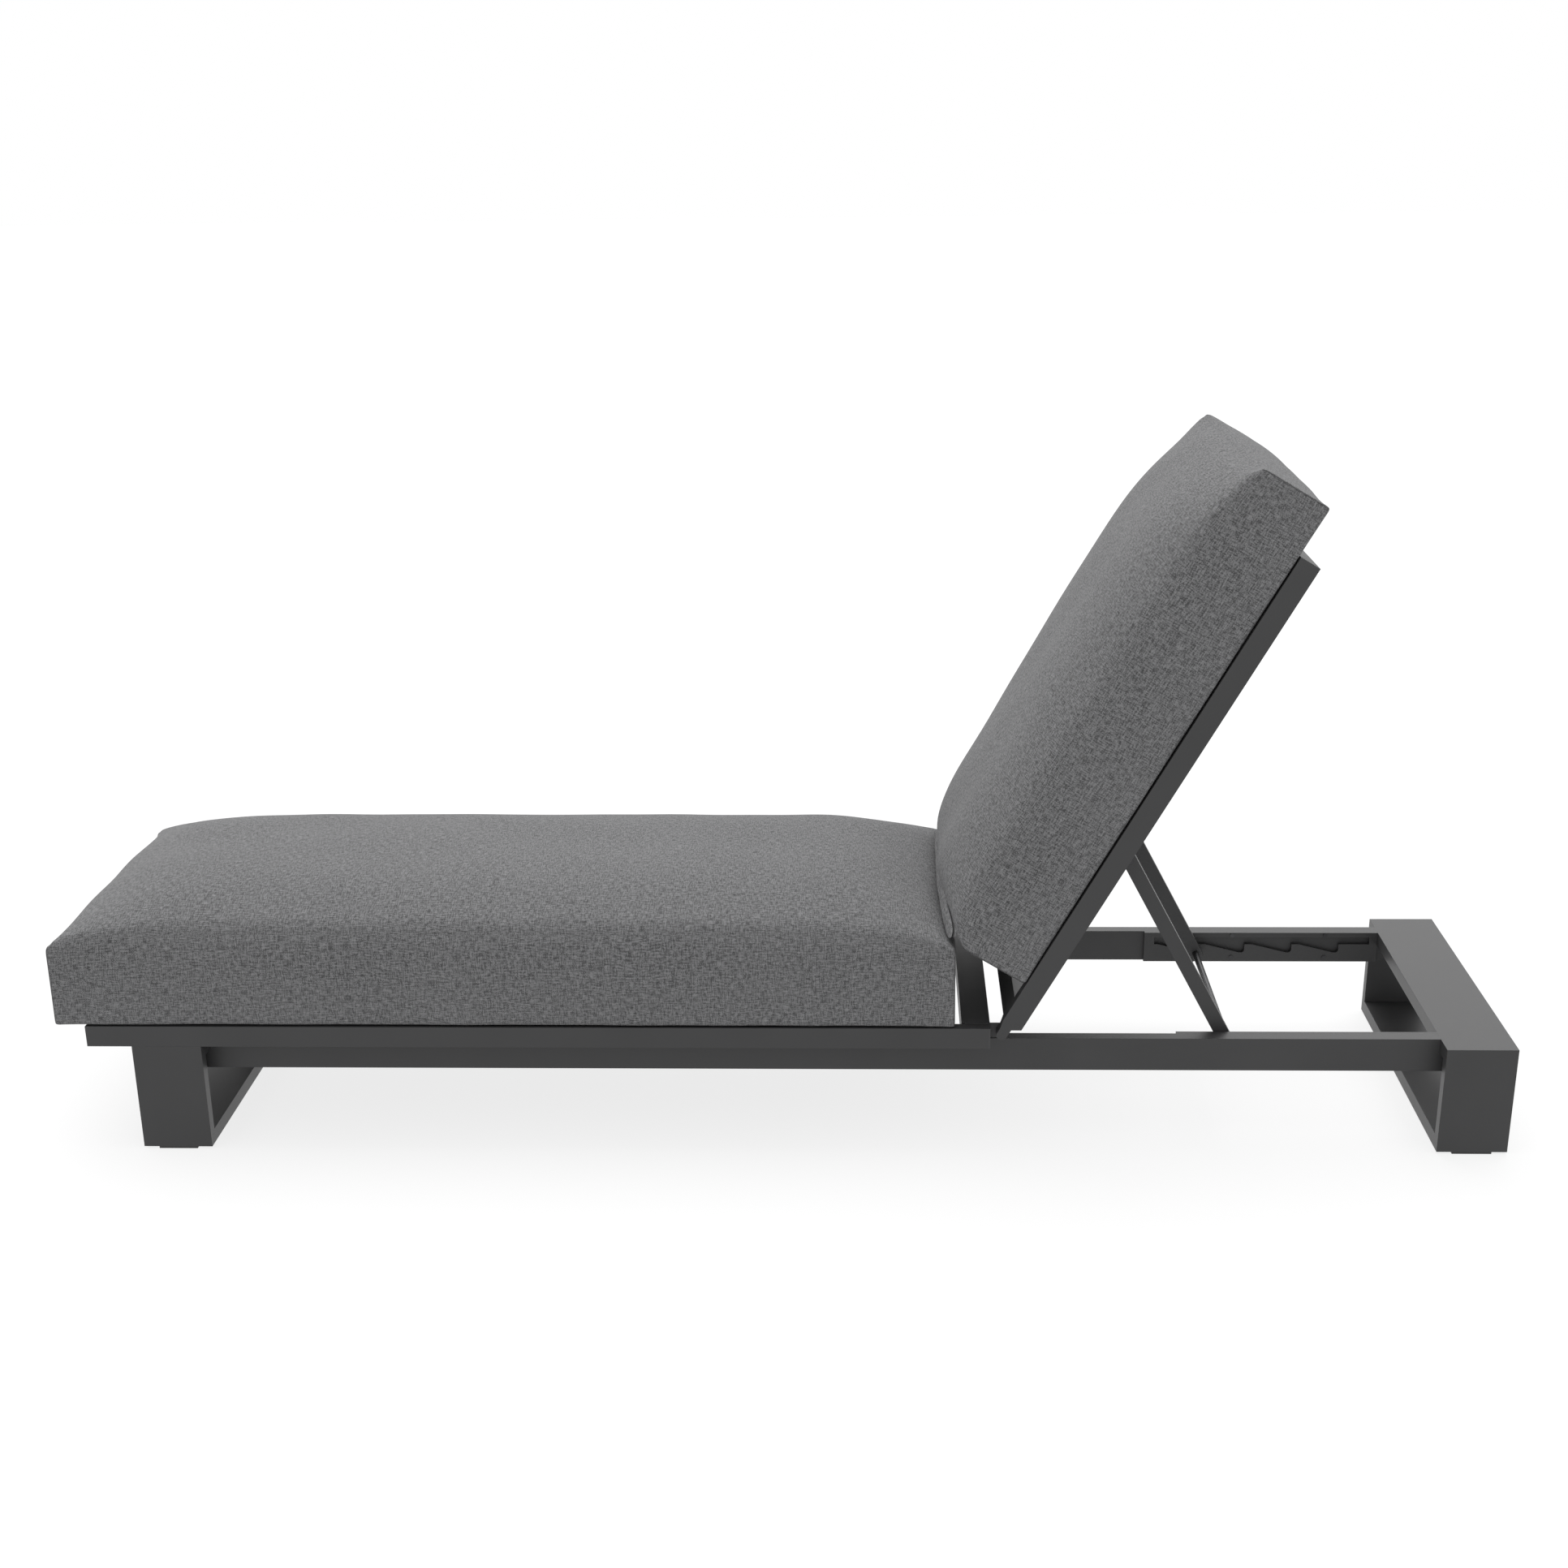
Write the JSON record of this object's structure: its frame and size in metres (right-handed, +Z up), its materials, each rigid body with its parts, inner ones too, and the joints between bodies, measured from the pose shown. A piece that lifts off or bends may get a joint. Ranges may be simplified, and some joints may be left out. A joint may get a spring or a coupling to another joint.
{
  "type": "reclining sun lounger",
  "caption": "Low garden sun lounger: hoop-legged tube frame, slatted deck, hinged backrest with a notched prop, and two padded cushions.",
  "frame": {"origin": "on the floor below the middle of the overall length and width", "axes": "+X from the foot to the head, +Y from the sitter's left to the right, +Z up"},
  "size_m": [2.074, 0.6, 0.9349],
  "materials": {
    "powder_coat": "matte",
    "glide_plastic": "matte",
    "cap_plastic": "matte",
    "washer_plastic": "satin",
    "steel_fastener": "satin",
    "woven_fabric": "matte"
  },
  "bodies": {
    "frame": {"deck_cap_foot_left": "cap_plastic", "deck_cap_foot_right": "cap_plastic", "deck_cap_head_left": "cap_plastic", "deck_cap_head_right": "cap_plastic", "deck_cross_rails": "powder_coat", "deck_foot_rail": "powder_coat", "deck_head_rail": "powder_coat", "deck_rail_left": "powder_coat", "deck_rail_right": "powder_coat", "deck_slats": "powder_coat", "foot_hoop_bottom": "powder_coat", "foot_hoop_leg_left": "powder_coat", "foot_hoop_leg_right": "powder_coat", "foot_hoop_top": "powder_coat", "glide_foot_left": "glide_plastic", "glide_foot_right": "glide_plastic", "glide_head_left": "glide_plastic", "glide_head_right": "glide_plastic", "head_hoop_bottom": "powder_coat", "head_hoop_leg_left": "powder_coat", "head_hoop_leg_right": "powder_coat", "head_hoop_top": "powder_coat", "hinge_bracket_left": "powder_coat", "hinge_bracket_right": "powder_coat", "notched_plate_left": "powder_coat", "notched_plate_right": "powder_coat", "plate_rivets_left": "steel_fastener", "plate_rivets_right": "steel_fastener", "seat_cushion": "woven_fabric", "side_rail_left": "powder_coat", "side_rail_right": "powder_coat"},
    "backrest": {"back_bottom_rail": "powder_coat", "back_cap_left": "cap_plastic", "back_cap_right": "cap_plastic", "back_prop_rail": "powder_coat", "back_slats": "powder_coat", "back_top_rail": "powder_coat", "back_tube_left": "powder_coat", "back_tube_right": "powder_coat", "hinge_bolt_left": "steel_fastener", "hinge_bolt_right": "steel_fastener", "hinge_tongue_left": "powder_coat", "hinge_tongue_right": "powder_coat", "hinge_washer_left": "washer_plastic", "hinge_washer_right": "washer_plastic", "prop_bolt_left": "steel_fastener", "prop_bolt_right": "steel_fastener", "prop_lug_left": "powder_coat", "prop_lug_right": "powder_coat"},
    "prop": {"prop_arm_left": "powder_coat", "prop_arm_right": "powder_coat", "prop_rod": "steel_fastener"},
    "back_pad": {"back_cushion": "woven_fabric"}
  },
  "joints": [
    {"name": "backrest_recline", "type": "hinge", "parent": "frame", "child": "backrest", "pos_m": [0.313, 0, 0.1784], "axis": [0, 1, 0], "range_deg": [0, 60]},
    {"name": "prop_fold", "type": "hinge", "parent": "backrest", "child": "prop", "pos_m": [0.48898, 0, 0.4082], "axis": [0, 1, 0], "range_deg": [-121.2, 0]},
    {"name": "back_pad_slide", "type": "slide", "parent": "backrest", "child": "back_pad", "axis": [-0.5, 0, -0.866], "range_m": [0, 0.1425]}
  ],
  "couplings": [
    {"joint": "prop_fold", "follows": "backrest_recline", "ratio": -2.018},
    {"joint": "back_pad_slide", "follows": "backrest_recline", "m_per_rad": 0.1356}
  ]
}
